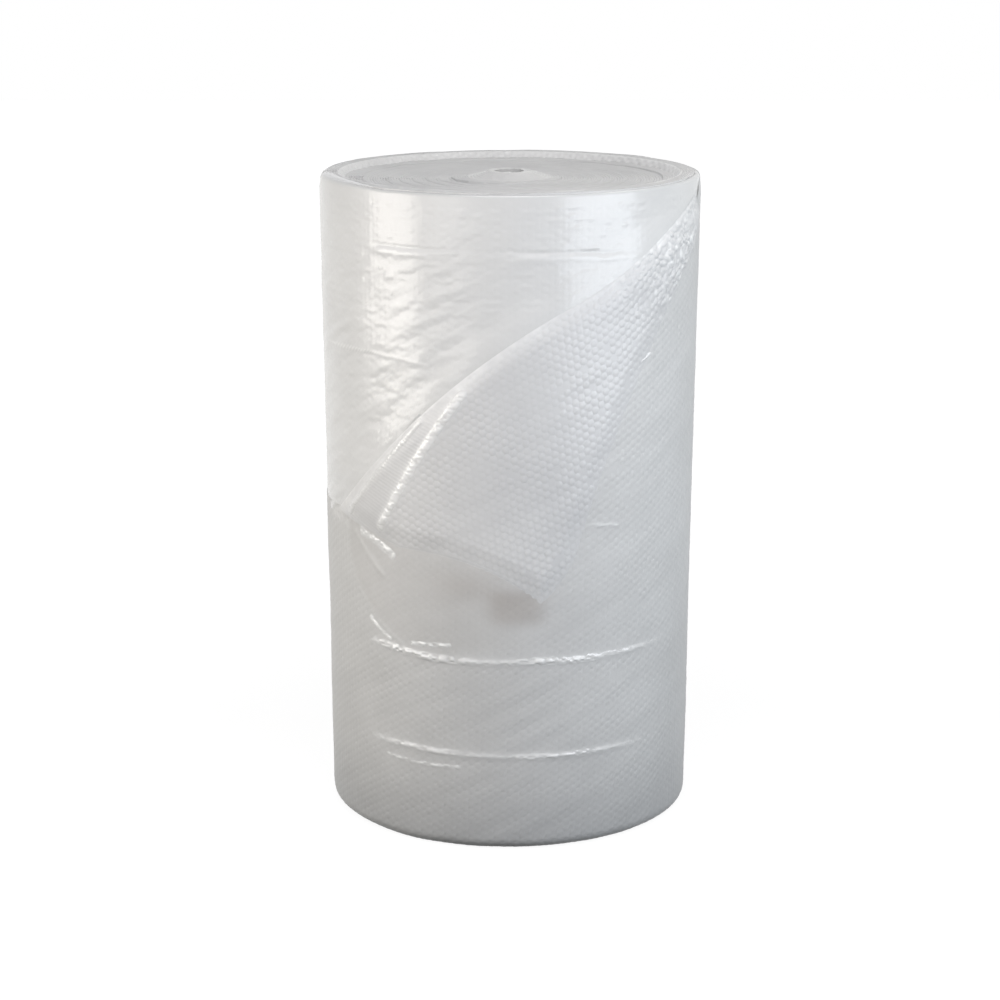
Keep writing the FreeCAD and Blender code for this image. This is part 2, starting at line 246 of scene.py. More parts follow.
# %% The lines of this roll
FOLD = walk(arc((-262, 496), (80, 830), 850, 1, 40), arc((80, 830), (280, 976), 700, -1, 30))
RIGHT_EDGE = walk(arc((46, 390), (96, 455), 190, -1, 20), arc((96, 455), (284, 905), 1990, 1, 50))
LOW_EDGE = walk(arc((-262, 496), (-164, 464)), arc((-164, 464), (46, 390), 290, 1, 40))
END_EDGE = walk(arc((280, 976), (288.5, 948)), arc((288.5, 948), (284, 905)))
RIGHT_PLEAT = walk(bowed(-64, 716, -196, 483, 7))
LEFT_PLEAT = walk(bowed(-128, 668, -244, 496, 5))
CORNER_CREASE = walk(bowed(-227, 478, -170, 445, 3))
SECOND_CREASE = walk(bowed(-238, 481, -185, 412, -4))
TAIL_CURVE = walk(bowed(-246, 476, -150, 308, -30))
MIDDLE_RIDGE = walk(
    arc((-216, 311), (-120, 300)), bowed(-120, 300, 60, 301, -1), bowed(60, 301, 240, 304, -3),
)
TAIL_GLINT = walk(bowed(-212, 348, -176, 316, -3))
ABOVE_RIDGE = walk(arc((-150, 318), (-84, 323)))
LOWER_RIDGE = walk(bowed(-218, 156, 210, 151, -3))
SECOND_RIDGE = walk(bowed(-190, 133, -70, 132, -3))
UPPER_RIDGE = walk(bowed(-200, 912, 190, 905, 3))
THIN_LINE = walk(bowed(-282, 751, -118, 745, 6))
RIGHT_GLINT = walk(arc((188, 740), (210, 755)))
RIGHT_MARK = walk(arc((118, 506), (164, 500)))
FOLD_SLOPE = math.atan2(*(FOLD[-1] - FOLD[0])[::-1])
print("length of the fold:", round(float(np.hypot(*np.diff(FOLD, axis=0).T).sum()), 3), "m")
print("slope of the fold:", round(math.degrees(FOLD_SLOPE), 1), "degrees")

# %% [markdown]
# A crease is a soft ridge over the distance to its line. The same few soft shapes, a bell, a step and a
# spot, place every other swelling and mark on the sheet, so no piece needs a painted mask.

# %% Distance to a line
def distance_to(line, u, v):
    """Distance of each place to a line, and how far along it the nearest place is, from 0 to 1."""
    best, along = np.full(u.shape, 9.0), np.zeros(u.shape)
    for k in range(len(line) - 1):
        (a, b), (c, d) = line[k], line[k + 1]
        span = (c - a) ** 2 + (d - b) ** 2
        t = np.clip(((u - a) * (c - a) + (v - b) * (d - b)) / span, 0, 1)
        away = np.hypot(u - a - t * (c - a), v - b - t * (d - b))
        nearer = away < best
        best = np.where(nearer, away, best)
        along = np.where(nearer, (k + t) / (len(line) - 1), along)
    return best, along


# %% Soft shapes
def bell(away, width, power=2):
    """1 at the middle, down to about a third at width, and then to 0."""
    return np.exp(-((away / width) ** power))


def run_out(along, fade):
    """1 along a line, and down to 0 over the share fade at both its ends."""
    return np.clip(along / fade, 0, 1) * np.clip((1 - along) / fade, 0, 1)


def ridge(line, u, v, width, fade=0.12):
    """A soft ridge from 0 to 1 over a line, which runs out at both ends."""
    away, along = distance_to(line, u, v)
    return bell(away, width) * run_out(along, fade)


def smooth_step(value, start, end):
    """From 0 at start to 1 at end, with soft ends."""
    t = np.clip((value - start) / (end - start), 0, 1)
    return t * t * (3 - 2 * t)


def spot(u, v, degrees, way, wide, tall, power=2):
    """A soft spot from 0 to 1 at an angle and a way up the wall."""
    return bell(u - girth(degrees), wide, power) * bell(v - way, tall, power)


def along_girth(u, marks):
    """A strength that follows the girth: marks are pairs of an angle in degrees and a value."""
    angles, values = zip(*marks, strict=True)
    return np.interp(np.degrees(u / ROLL_RADIUS), angles, values)


print("a bell at its width:", round(float(bell(1.0, 1.0)), 2))

# %% [markdown]
# ## A closed sheet from a grid
#
# Each piece of film is a grid of points with a fine outside. To be a sound solid it also needs an inside,
# which nobody sees, so that one is coarse: narrow many-sided faces join its few points to the fine border.

# %% Build closed sheets
SHARP = math.radians(70)


def picked(count, step):
    """Every step-th index of a row, with the last one."""
    return sorted(set(list(range(0, count, step)) + [count - 1]))


def closed_sheet(name, outside, inside, normals=None, step=8):
    """A mesh object from two grids of points. outside[row][column] faces out with columns to the right."""
    rows, columns = outside.shape[:2]
    some_rows, some_columns = picked(rows, step), picked(columns, step)
    inner = inside[np.ix_(some_rows, some_columns)]
    points = np.concatenate([outside.reshape(-1, 3), inner.reshape(-1, 3)])
    fine = np.arange(rows * columns).reshape(rows, columns)
    coarse = np.arange(inner.shape[0] * inner.shape[1]).reshape(inner.shape[:2]) + rows * columns
    front = np.stack([fine[:-1, :-1], fine[:-1, 1:], fine[1:, 1:], fine[1:, :-1]], axis=-1).reshape(-1, 4)
    back = np.stack([coarse[:-1, :-1], coarse[1:, :-1], coarse[1:, 1:], coarse[:-1, 1:]], axis=-1)
    back = back.reshape(-1, 4)
    faces = front.tolist() + back.tolist()
    for n in range(len(some_columns) - 1):
        a, b = some_columns[n], some_columns[n + 1]
        faces.append([*fine[0, a:b + 1][::-1], coarse[0, n], coarse[0, n + 1]])
        faces.append([*fine[-1, a:b + 1], coarse[-1, n + 1], coarse[-1, n]])
    for n in range(len(some_rows) - 1):
        a, b = some_rows[n], some_rows[n + 1]
        faces.append([*fine[a:b + 1, 0], coarse[n + 1, 0], coarse[n, 0]])
        faces.append([*fine[a:b + 1, -1][::-1], coarse[n, -1], coarse[n + 1, -1]])
    mesh = bpy.data.meshes.new(name)
    mesh.from_pydata(points.tolist(), [], [[int(v) for v in face] for face in faces])
    smooth = np.zeros(len(mesh.polygons), bool)
    smooth[:len(front)] = True
    mesh.polygons.foreach_set("use_smooth", smooth)
    mesh.set_sharp_from_angle(angle=SHARP)
    if normals is not None:
        extra = np.zeros((len(points) - rows * columns, 3))
        every = np.concatenate([normals.reshape(-1, 3), extra])
        mesh.normals_split_custom_set_from_vertices(every.tolist())
    thing = bpy.data.objects.new(name, mesh)
    bpy.context.scene.collection.objects.link(thing)
    print(name, "has", 2 * len(front) + 2 * len(back), "triangles")
    return thing


# %% [markdown]
# The normals are worked out from the form itself and not from the faces, so that two pieces of the same
# film show no seam. What the material has to know of a place, such as a crease, is kept in attributes of
# the points.

# %% Normals, painted values and the roll's claims
def normals_of(form, u, v, step=0.4 * MM):
    """The way that a form faces at each of its places."""
    along = form(u + step, v) - form(u - step, v)
    up = form(u, v + step) - form(u, v - step)
    normal = np.cross(along, up)
    return normal / np.linalg.norm(normal, axis=-1, keepdims=True)


def paint(thing, name, values):
    """Keeps a value for each point of the outside in an attribute for the material. The inside gets 0."""
    layer = thing.data.attributes.new(name, "FLOAT", "POINT")
    full = np.zeros(len(thing.data.vertices), np.float32)
    full[:values.size] = values.reshape(-1)
    layer.data.foreach_set("value", full)


def ready(thing, material):
    """Every piece is film of the one web: it rides with the roll and stands for its construction solid."""
    thing.data.materials.append(material)
    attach(thing, "root")
    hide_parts(NODE)
    return thing


# %% [markdown]
# ## Milky film
#
# Polyethylene film with air under it is neither white nor clear: light goes in, scatters between the many
# layers and comes out soft, and a thin sharp gloss lies on top. Real scattering under the surface would
# show a seam wherever two pieces of the web meet, so the milk is a pale base tone and the gloss is a coat
# over it. A film has many small nodes of the same kinds, so each kind gets a helper that sets it up and
# links it.

# %% Link, read and reckon
def feed(tree, socket, value):
    """Gives a socket another node's output, or a plain value."""
    if isinstance(value, bpy.types.NodeSocket):
        tree.links.new(value, socket)
    else:
        socket.default_value = value


def painted(tree, name):
    """What the points hold in an attribute."""
    node = tree.nodes.new("ShaderNodeAttribute")
    node.attribute_name = name
    return node.outputs["Fac"]


def maths(tree, operation, *values):
    """The result of a sum or a product, kept between 0 and 1."""
    node = tree.nodes.new("ShaderNodeMath")
    node.operation = operation
    node.use_clamp = True
    for socket, value in zip(node.inputs, values):
        feed(tree, socket, value)
    return node.outputs["Value"]


def ranged(tree, value, low, high, new_low, new_high):
    """A value carried from one range over to another."""
    node = tree.nodes.new("ShaderNodeMapRange")
    ends = {"From Min": low, "From Max": high, "To Min": new_low, "To Max": new_high}
    for name, number in ends.items():
        node.inputs[name].default_value = number
    tree.links.new(value, node.inputs["Value"])
    return node.outputs["Result"]


# %% Colours and noise
def mixed(tree, factor, first, second):
    """Two colours, mixed by a factor."""
    node = tree.nodes.new("ShaderNodeMix")
    node.data_type = "RGBA"
    for name, value in {"Factor": factor, "A": first, "B": second}.items():
        feed(tree, node.inputs[name], value)
    return node.outputs["Result"]


def noise(tree, place, scale, detail):
    """Blender's noise texture at a place."""
    node = tree.nodes.new("ShaderNodeTexNoise")
    node.inputs["Scale"].default_value = scale
    node.inputs["Detail"].default_value = detail
    tree.links.new(place, node.inputs["Vector"])
    return node.outputs["Fac"]


# %% [markdown]
# The attribute "crease" makes the film paler. In a crease the film is doubled and looks whiter, and the same
# attribute paints highlights along the creases, the hem and the pleats and on the tops of bubbles, and glints
# on crumpled film. At the ends it makes the edges of the turns, the heart and the top of the standing turn
# paler. A second attribute makes the film warmer and darker below the folded corner: partly its own tone,
# partly a painted shadow under the corner's lower edge. "shade" is painted shade, greyer at the rim and
# towards the foot. "slick" adds gloss. Fine noise breaks it.

# %% The film's material
# The warm tone is partly the film's own and partly a painted shadow; the grey tone is painted shade at the
# rim and the foot.
WARM_AND_SHADOW_TONE = (0.42, 0.37, 0.33, 1.0)
PAINTED_SHADE_TONE = (0.36, 0.37, 0.38, 1.0)
SLICK_COAT = 0.85
CLOUD_SCALE, GRAIN_SCALE = 9.0, 240.0
GRAIN_HEIGHT = 0.6 * MM


def film(name, deep, pale, gloss, coat, fine_bump, ior=1.3, coat_gloss=0.2, coat_ior=1.4):
    """A node material for one face of the web. deep and pale are its two tones."""
    material = bpy.data.materials.new(name)
    material.use_nodes = True
    tree = material.node_tree
    shader = tree.nodes["Principled BSDF"]
    shader.inputs["IOR"].default_value = ior
    shader.inputs["Coat Roughness"].default_value = coat_gloss
    shader.inputs["Coat IOR"].default_value = coat_ior
    slick = maths(tree, "MULTIPLY_ADD", painted(tree, "slick"), SLICK_COAT, coat)
    tree.links.new(slick, shader.inputs["Coat Weight"])

    place = tree.nodes.new("ShaderNodeTexCoord").outputs["Object"]
    clouds = ranged(tree, noise(tree, place, CLOUD_SCALE, 5.0), 0.3, 0.7, 0.0, 0.35)
    # The base colour carries painted highlights, a painted shadow and painted shade, as well as the film's
    # own tones.
    paleness = maths(tree, "ADD", clouds, painted(tree, "crease"))
    colour = mixed(tree, paleness, (*deep, 1.0), (*pale, 1.0))
    colour = mixed(tree, painted(tree, "warmth_and_shadow"), colour, WARM_AND_SHADOW_TONE)
    colour = mixed(tree, painted(tree, "shade"), colour, PAINTED_SHADE_TONE)
    tree.links.new(colour, shader.inputs["Base Color"])

    grain = noise(tree, place, GRAIN_SCALE, 4.0)
    roughness = ranged(tree, grain, 0.0, 1.0, gloss - 0.08, gloss + 0.10)
    tree.links.new(roughness, shader.inputs["Roughness"])
    bump = tree.nodes.new("ShaderNodeBump")
    bump.inputs["Strength"].default_value = fine_bump
    bump.inputs["Distance"].default_value = GRAIN_HEIGHT
    tree.links.new(grain, bump.inputs["Height"])
    tree.links.new(bump.outputs["Normal"], shader.inputs["Normal"])
    return material


TIGHT_FILM = film("tight_film", (0.72, 0.72, 0.71), (0.90, 0.90, 0.89), 0.42, 0.06, 0.18, ior=1.2)
SMOOTH_FILM = film("smooth_film", (0.75, 0.75, 0.74), (0.92, 0.92, 0.91), 0.36, 0.9, 0.22, 1.25, 0.23, 1.5)
BUBBLE_FILM = film("bubble_film", (0.72, 0.72, 0.72), (0.95, 0.95, 0.94), 0.36, 0.3, 0.15, 1.3, 0.18, 1.45)
CREASE_FILM = film("gathered_film", (0.72, 0.72, 0.71), (0.96, 0.96, 0.95), 0.30, 0.8, 0.15, 1.3, 0.13, 1.5)
EDGE_FILM = film("turn_edges", (0.60, 0.60, 0.60), (0.82, 0.82, 0.81), 0.45, 0.10, 0.12)
print("materials:", len(bpy.data.materials))

# %% [markdown]
# ## The last turn
#
# The last turn lies with its flat side out, so the bubbles only swell through it a little. It starts at its
# cut end at the left, half way up, because its upper corner is folded away, and goes over the front and the
# right and all round the back. The lines that cross the front are where the tight film gathers into
# creases. Each swelling, crease and dent is one term of a sum, in millimetres.

# %% Where the last turn lies free, and where it runs on
FRONT_TOP = 0.50 + FOOT_WAY


def under_corner(u, v):
    """Where the last turn lies smooth and warm in tone: right of its curve, below the folded corner."""
    curve = np.interp(v, TAIL_CURVE[::-1, 1], TAIL_CURVE[::-1, 0])
    inside = smooth_step(u, curve - 2 * MM, curve + 14 * MM) * (1 - smooth_step(u, girth(-20), girth(28)))
    return inside * smooth_step(v, 0.30 + FOOT_WAY, 0.33 + FOOT_WAY) * (1 - smooth_step(v, 0.50, 0.56))


def wall_slack(u, v):
    """The film's slow unevenness, which the folded corner takes on from the turn below it."""
    return 0.7 * MM * waves(u, v, 0.09, 0.16, 3) + 0.35 * MM * waves(*turned(u, v, 24), 0.10, 0.018, 4)


def towards_end(u, v):
    """1 where the last turn's upper half nears the place above its cut end and runs on as the smooth turn."""
    return smooth_step(u, girth(225), girth(266)) * smooth_step(v, 0.50, 0.58)


print("height of the cut end:", round(FRONT_TOP - FOOT_WAY, 3), "m")


# %% Relief of the last turn
def last_swell(u, v, calm):
    """The bubbles as they show through the flat side. Pulled film hides them."""
    pulled = ridge(MIDDLE_RIDGE, u, v, 9 * MM) + ridge(LOWER_RIDGE, u, v, 8 * MM) + 0.5 * under_corner(u, v)
    uneven = 0.34 + 0.10 * waves(u, v, 0.03, 0.02, 7) + 0.16 * smooth_step(u, girth(15), girth(60))
    hidden = np.clip(1 - pulled, 0, 1) * (1 - 0.6 * towards_end(u, v))
    return uneven * MM * bubbles(u, v, 2.0) * calm * hidden


def last_creases(u, v):
    """The creases that the tight film gathers into."""
    creases = 1.1 * MM * (ridge(MIDDLE_RIDGE, u, v, 6 * MM) + ridge(LOWER_RIDGE, u, v, 6 * MM))
    creases += 0.4 * MM * ridge(SECOND_RIDGE, u, v, 3 * MM) + 0.5 * MM * ridge(TAIL_CURVE, u, v, 6 * MM)
    creases += 0.9 * MM * ridge(SECOND_CREASE, u, v, 5 * MM)
    return creases + 0.8 * MM * ridge(RIGHT_MARK, u, v, 2.5 * MM)


def last_lift(u, v):
    """Height of the last turn's film over the plain winding."""
    calm = smooth_step(WALL_TOP - v, 5 * MM, 35 * MM)
    lowered = smooth_step(v, FRONT_TOP - 70 * MM, FRONT_TOP - 4 * MM)
    lowered = 0.7 * MM * lowered * (1 - smooth_step(u, girth(-66), girth(-52)))
    pit = 1.6 * MM * spot(u, v, -60, 0.485 + FOOT_WAY, 8 * MM, 8 * MM)
    right = 1.4 * MM * bell(u - girth(95), 0.16) * calm
    risen = 0.8 * SHEET * towards_end(u, v) * calm
    raised = last_swell(u, v, calm) + last_creases(u, v) + right + risen
    return raised + wall_slack(u, v) - 0.5 * MM - lowered - pit


def last_form(u, v):
    """Points of the last turn's film."""
    return on_wall(u / ROLL_RADIUS, v, last_lift(u, v))


crest = last_lift(*np.meshgrid(np.linspace(0, 0.1, 60), np.linspace(0.2, 0.4, 120))).max()
print("highest place of the film below the corner:", round(float(crest) / MM, 2), "mm")


# %% Tones of the last turn
def last_crease_glints(u, v):
    """How much whiter the film is at the tops of its creases: doubled film with a painted highlight, and a
    painted glint below the corner.
    """
    found = 0.25 * ridge(MIDDLE_RIDGE, u, v, 6 * MM) + 0.2 * ridge(LOWER_RIDGE, u, v, 6 * MM)
    found = found + 0.25 * ridge(SECOND_CREASE, u, v, 4 * MM) + 0.4 * ridge(RIGHT_MARK, u, v, 2.5 * MM)
    # A painted glint where the creases meet below the folded corner.
    fuzz = spot(u, v, -68, 0.488 + FOOT_WAY, 0.03, 0.012)
    return found + 0.5 * fuzz * (1 + waves(u, v, 0.006, 0.004, 8)) + 0.06 * waves(u, v, 0.004, 0.004, 9)


def last_warmth_and_shadow(u, v):
    """How much warmer and darker the film is: its own tone below the folded corner, and a painted shadow in
    patches under the corner's lower edge.
    """
    # Painted shadow: darker, warmer patches just under the folded corner's lower edge.
    patch = spot(u, v, 2, 0.396, 0.045, 0.028, power=4)
    tail = spot(u, v, -13, 0.428, 0.06, 0.028)
    return 0.10 * under_corner(u, v) + np.clip(0.42 * patch + 0.26 * tail, 0, 0.44)


def painted_shade_at_ends(v):
    """Painted shade: how much greyer the film is at the rim and towards the foot."""
    rim = 1 - smooth_step(WALL_TOP - v, 2 * MM, 11 * MM)
    foot = 1 - smooth_step(v, 0.0, 0.20)
    return 0.5 * rim + 0.42 * foot ** 1.5


# %% [markdown]
# The turn is made in four lengths to keep each one light. A grid of places is laid on the sheet between two
# angles, and its upper border may follow a line, such as the fold. Past the corner the fold runs on to the
# rim, where the last turn comes out from under it.

# %% Grids and their pieces
STEP_U, STEP_V = COLUMN / 3.5, PITCH / 3.75


def grid(u_from, u_to, v_from, v_to):
    """Places of a rectangle of the sheet. v_to may differ from column to column."""
    columns = round((u_to - u_from) / STEP_U) + 1
    u = np.linspace(u_from, u_to, columns)
    top = v_to(u) if callable(v_to) else np.full(columns, v_to)
    rows = round((top.max() - v_from) / STEP_V) + 1
    share = np.linspace(0, 1, rows)[:, None]
    return np.tile(u, (rows, 1)), v_from + (top - v_from) * share


def hidden_side(u, v, depth):
    """The inside of a sheet: the plain winding, sunk by depth."""
    return on_wall(u / ROLL_RADIUS, v, np.full(u.shape, -depth))


def wall_piece(name, u, v, form, crease, material, depth=5 * MM, warmth_and_shadow=None):
    """A closed piece of film on the wall, with its tones, painted highlights and painted shade at the rim and
    the foot. A piece may also get a warm tone with a painted shadow.
    """
    piece = closed_sheet(name, form(u, v), hidden_side(u, v, depth), normals_of(form, u, v))
    paint(piece, "crease", crease(u, v))
    paint(piece, "shade", painted_shade_at_ends(v))
    paint(piece, "slick", towards_end(u, v))
    if warmth_and_shadow is not None:
        paint(piece, "warmth_and_shadow", warmth_and_shadow(u, v))
    return ready(piece, material)


print("steps of the grid:", round(STEP_U / MM, 2), "by", round(STEP_V / MM, 2), "mm")


# %% Upper borders of the last turn
UNDER_FOLD = 14 * MM
FOLD_TO_RIM = np.concatenate([FOLD, [[girth(97), WALL_END]]])


def front_top(u):
    """Upper border of the front's lower length, which is the turn's edge, or lies under the folded corner."""
    return FRONT_TOP + np.interp(u, [girth(-64), girth(-35)], [0.0, 0.095])


def fold_way(u):
    """Way up the wall at which the fold crosses each place of the girth, and then runs on to the rim."""
    return np.interp(u, FOLD_TO_RIM[:, 0], FOLD_TO_RIM[:, 1])


def under_fold(u):
    """Upper border of what lies under the folded corner."""
    return fold_way(u) - UNDER_FOLD


def right_top(u):
    """Upper border of the last turn at the right. It comes out from under the corner and meets the rim."""
    return fold_way(u) - UNDER_FOLD * (1 - smooth_step(u, girth(75), girth(79)))


# %% The four lengths of the last turn
FRONT_END, BACK_START, BACK_END = girth(75), girth(172.5), girth(270)
UNDER_START = girth(20)
u, v = grid(girth(-90), FRONT_END, WALL_START, front_top)
wall_piece("last_turn_front", u, v, last_form, last_crease_glints, TIGHT_FILM, warmth_and_shadow=last_warmth_and_shadow)
u, v = grid(UNDER_START, FRONT_END, front_top(UNDER_START), under_fold)
wall_piece("last_turn_under_fold", u, v, last_form, last_crease_glints, TIGHT_FILM)
u, v = grid(FRONT_END, BACK_START, WALL_START, right_top)
wall_piece("last_turn_right", u, v, last_form, last_crease_glints, TIGHT_FILM)
u, v = grid(BACK_START, BACK_END, WALL_START, WALL_END)
wall_piece("last_turn_back", u, v, last_form, last_crease_glints, TIGHT_FILM)

# %% [markdown]
# ## Gathered film
#
# Where the tight film gathers, it crumples into glints finer than the grid of the turn can hold. A narrow
# strip of its own, with points a millimetre apart, rises out of the turn along each such line. It carries
# ridges of noise, and it shines in some stretches and runs out in others, as the marks along the girth say.
# The shine is partly gloss on its ridges and partly a highlight painted whiter along them.

# %% Strips of crumpled film
STRIP_ROWS, STRIP_REACH = 21, 1.7


def resample(line, count):
    """count places at even steps along a line."""
    ways = np.concatenate([[0], np.cumsum(np.hypot(*np.diff(line, axis=0).T))])
    even = np.linspace(0, ways[-1], count)
    return np.stack([np.interp(even, ways, line[:, k]) for k in (0, 1)], axis=-1)


def gathered(name, line, width, height, marks, below, seed, fine=1.0, power=2):
    """A strip of crumpled film along a line, over the turn whose lift is below, with a highlight painted on
    its ridge.
    """
    length = np.hypot(*np.diff(line, axis=0).T).sum()
    middle = resample(line, max(8, round(length / MM)))
    way = np.gradient(middle, axis=0)
    way = way / np.linalg.norm(way, axis=1, keepdims=True)
    side = np.stack([-way[:, 1], way[:, 0]], axis=-1)
    across = np.linspace(-STRIP_REACH, STRIP_REACH, STRIP_ROWS)[:, None, None]
    places = middle[None] + across * width * side[None]
    coarse_line = middle[::4] if len(middle) > 40 else middle
    whitest = 1.1 if power == 2 else 1.9

    def hill(u, v):
        away, along = distance_to(coarse_line, u, v)
        crumple = 0.55 * waves(u, v, 0.006, 0.0035, seed) + 0.3 * waves(u, v, 0.02, 0.006, seed + 1)
        crumple = np.clip(0.55 + fine * crumple, 0, 1.4)
        return bell(away, width, power) * crumple * along_girth(u, marks) * run_out(along, 0.05)

    def form(u, v):
        return on_wall(u / ROLL_RADIUS, v, below(u, v) + height * hill(u, v) - 0.12 * MM)

    # Painted highlight: the strip is whiter where it stands highest.
    def whiter(u, v):
        return np.clip(whitest * hill(u, v), 0, 1)

    wall_piece(name, places[..., 0], places[..., 1], form, whiter, CREASE_FILM, depth=4 * MM)


# %% The gathers of the last turn
ALL_ALONG = [(-90, 1), (90, 1)]
MIDDLE_MARKS = [
    (-50, 0), (-46, 0.5), (-37, 1), (-22, 1), (-15, 0.5), (0, 0.4), (8, 0.8), (20, 0.9), (30, 0.5), (45, 0.3),
    (56, 0),
]
LOWER_MARKS = [
    (-52, 0), (-44, 0.5), (-36, 1), (-22, 1), (-14, 0.4), (0, 0.4), (8, 0.8), (22, 1), (32, 0.5), (45, 0.2),
    (50, 0),
]
gathered("middle_ridge", MIDDLE_RIDGE, 5 * MM, 2.2 * MM, MIDDLE_MARKS, last_lift, 51)
gathered("tail_glint", TAIL_GLINT, 3.5 * MM, 1.8 * MM, ALL_ALONG, last_lift, 53, 0.6)
gathered("above_ridge", ABOVE_RIDGE, 3 * MM, 1.2 * MM, ALL_ALONG, last_lift, 55, 1.4)
gathered("lower_ridge", LOWER_RIDGE, 4.5 * MM, 1.7 * MM, LOWER_MARKS, last_lift, 57, 0.8)
gathered("second_ridge", SECOND_RIDGE, 3 * MM, 0.8 * MM, ALL_ALONG, last_lift, 59)
gathered("corner_crease", CORNER_CREASE, 5 * MM, 1.5 * MM, ALL_ALONG, last_lift, 61, 0.7)
gathered("right_glint", RIGHT_GLINT, 2.5 * MM, 1.6 * MM, ALL_ALONG, last_lift, 63, 1.2)

# %% [markdown]
# ## The smooth turn above the fold
#
# Where the corner is folded away, the turn below it shows. Its film has slid and settled, so the bubbles
# hardly show in it. It shines, and short slanted crinkles break the shine: ridges of stretched noise. It
# lies one sheet further in, but rises to the fold, and beside the cut end it is one film with the end of
# the turn at the back.

# %% Relief of the smooth turn
UPPER_MARKS = [(-46, 0), (-41, 1), (-24, 1), (-17, 0.15), (-4, 0.2), (3, 0.8), (30, 0.8), (36, 0.3), (44, 0)]


def smooth_slack(u, v, over_fold, seam):
    """Slow unevenness, which becomes the last turn's near the fold and at the seam above the cut end."""
    near = 1 - smooth_step(over_fold, 15 * MM, 70 * MM)
    slack = 0.9 * MM * waves(u, v, 0.07, 0.12, 21) * (1 - near) + wall_slack(u, v) * near
    return slack * (1 - seam) + (wall_slack(u + girth(360), v) + 0.2 * MM) * seam


def smooth_ripples(u, v, calm):
    """Slanted crinkles at the left, and short level ones that are strongest at the right."""
    lower = smooth_step(UPPER_RIDGE[0, 1] - v, -10 * MM, 40 * MM)
    slanted = 0.8 * MM * waves(*turned(u, v, 24), 0.045, 0.012, 22) * lower * smooth_step(-u, -0.02, 0.08)
    level = MM * (0.3 * waves(u, v, 0.024, 0.006, 23) + 0.14 * waves(u, v, 0.009, 0.006, 24))
    at_right = smooth_step(u, girth(8), girth(18)) * (1 - smooth_step(u, girth(40), girth(52)))
    level = level + 0.45 * MM * np.clip(waves(u, v, 0.026, 0.006, 25) - 0.1, 0, 1) * at_right
    return slanted + level * calm


def smooth_lines(u, v):
    """The step across the upper part, the thin line at the left and the groove under the rim."""
    order = np.argsort(UPPER_RIDGE[:, 0])
    above = v - np.interp(u, UPPER_RIDGE[order, 0], UPPER_RIDGE[order, 1])
    step = MM * bell(above + 4 * MM, 6 * MM) - 0.8 * MM * bell(above - 5 * MM, 3 * MM)
    groove = 0.6 * MM * bell(WALL_TOP - v - 2 * MM, 1.6 * MM)
    return step * along_girth(u, UPPER_MARKS) + 0.6 * MM * ridge(THIN_LINE, u, v, 2 * MM) - groove


def smooth_lift(u, v):
    """Height of the smooth turn's film over the winding one sheet in."""
    calm = smooth_step(WALL_TOP - v, 5 * MM, 30 * MM)
    over_fold = v - fold_way(u)
    seam = 1 - smooth_step(u, girth(-89.5), girth(-78))
    joined = (1 - smooth_step(over_fold, 2 * MM, 60 * MM)) * smooth_step(WALL_TOP - v, 0, 9 * MM)
    joined = joined * smooth_step(u, FOLD[0, 0] + 5 * MM, FOLD[0, 0] + 50 * MM)
    beside = 0.8 * (1 - smooth_step(u, girth(-74), girth(-40))) * (calm + (1 - calm) * (1 - seam))
    risen = SHEET * (1 - (1 - beside) * (1 - 0.96 * joined))
    swell = 0.16 * MM * bubbles(u, v, 2.0) * calm
    ripples = smooth_ripples(u, v, calm) * (1 - 0.6 * joined) * (1 - seam)
    return swell + smooth_slack(u, v, over_fold, seam) + ripples + smooth_lines(u, v) + risen - 0.7 * MM


# %% The smooth turn
SMOOTH_START, SMOOTH_END, SMOOTH_ROWS = girth(-90), girth(98), 150
SMOOTH_UNDER_FOLD = 24 * MM


def smooth_line_glints(u, v):
    """Painted highlights: how much whiter the smooth turn is along its step and its thin line."""
    found = 0.4 * ridge(UPPER_RIDGE, u, v + 4 * MM, 5 * MM, 0.01) * along_girth(u, UPPER_MARKS)
    return found + 0.6 * ridge(THIN_LINE, u, v, 1.6 * MM)


def smooth_form(u, v):
    """Points of the smooth turn's film."""
    return on_wall(u / ROLL_RADIUS, v, smooth_lift(u, v), sunk=1.0)


smooth_u = np.linspace(SMOOTH_START, SMOOTH_END, round((SMOOTH_END - SMOOTH_START) / STEP_U) + 1)
smooth_low = fold_way(smooth_u) - SMOOTH_UNDER_FOLD
v = smooth_low + (WALL_END - smooth_low) * np.linspace(0, 1, SMOOTH_ROWS)[:, None]
u = np.tile(smooth_u, (SMOOTH_ROWS, 1))
wall_piece("smooth_turn", u, v, smooth_form, smooth_line_glints, SMOOTH_FILM, depth=10 * MM)

# %% [markdown]
# ## The folded corner
#
# The top corner of the web hangs down over the front, turned over, so its bubbles are outside. A patch
# between four lines gives it clean edges: the fold, the short end at the right, and the web's two cut
# edges.

# %% The patch between the fold and the free edges
ALONG, ACROSS = 400, 178


def patch_between(near, far, start, end):
    """Places between four lines: near and far run along the patch, start and end across it."""
    s = np.linspace(0, 1, len(near))[None, :, None]
    t = np.linspace(0, 1, len(start))[:, None, None]
    patch = (1 - t) * near[None] + t * far[None] + (1 - s) * start[:, None] + s * end[:, None]
    patch -= (1 - s) * (1 - t) * near[0] + s * (1 - t) * near[-1]
    patch -= (1 - s) * t * far[0] + s * t * far[-1]
    return patch[::-1]


corner_places = patch_between(
    resample(FOLD, ALONG), resample(RIGHT_EDGE, ALONG),
    resample(LOW_EDGE, ACROSS), resample(END_EDGE, ACROSS),
)
print("places in the corner:", ALONG * ACROSS)

# %% [markdown]
# Its bubbles stand in the web's own rows, seen in the mirror of the fold. The fold is a loose round hem,
# with two long pleats beside it, and near its upper end the film is crumpled into coarse glinting folds,
# where the bubbles are pushed out of their rows.

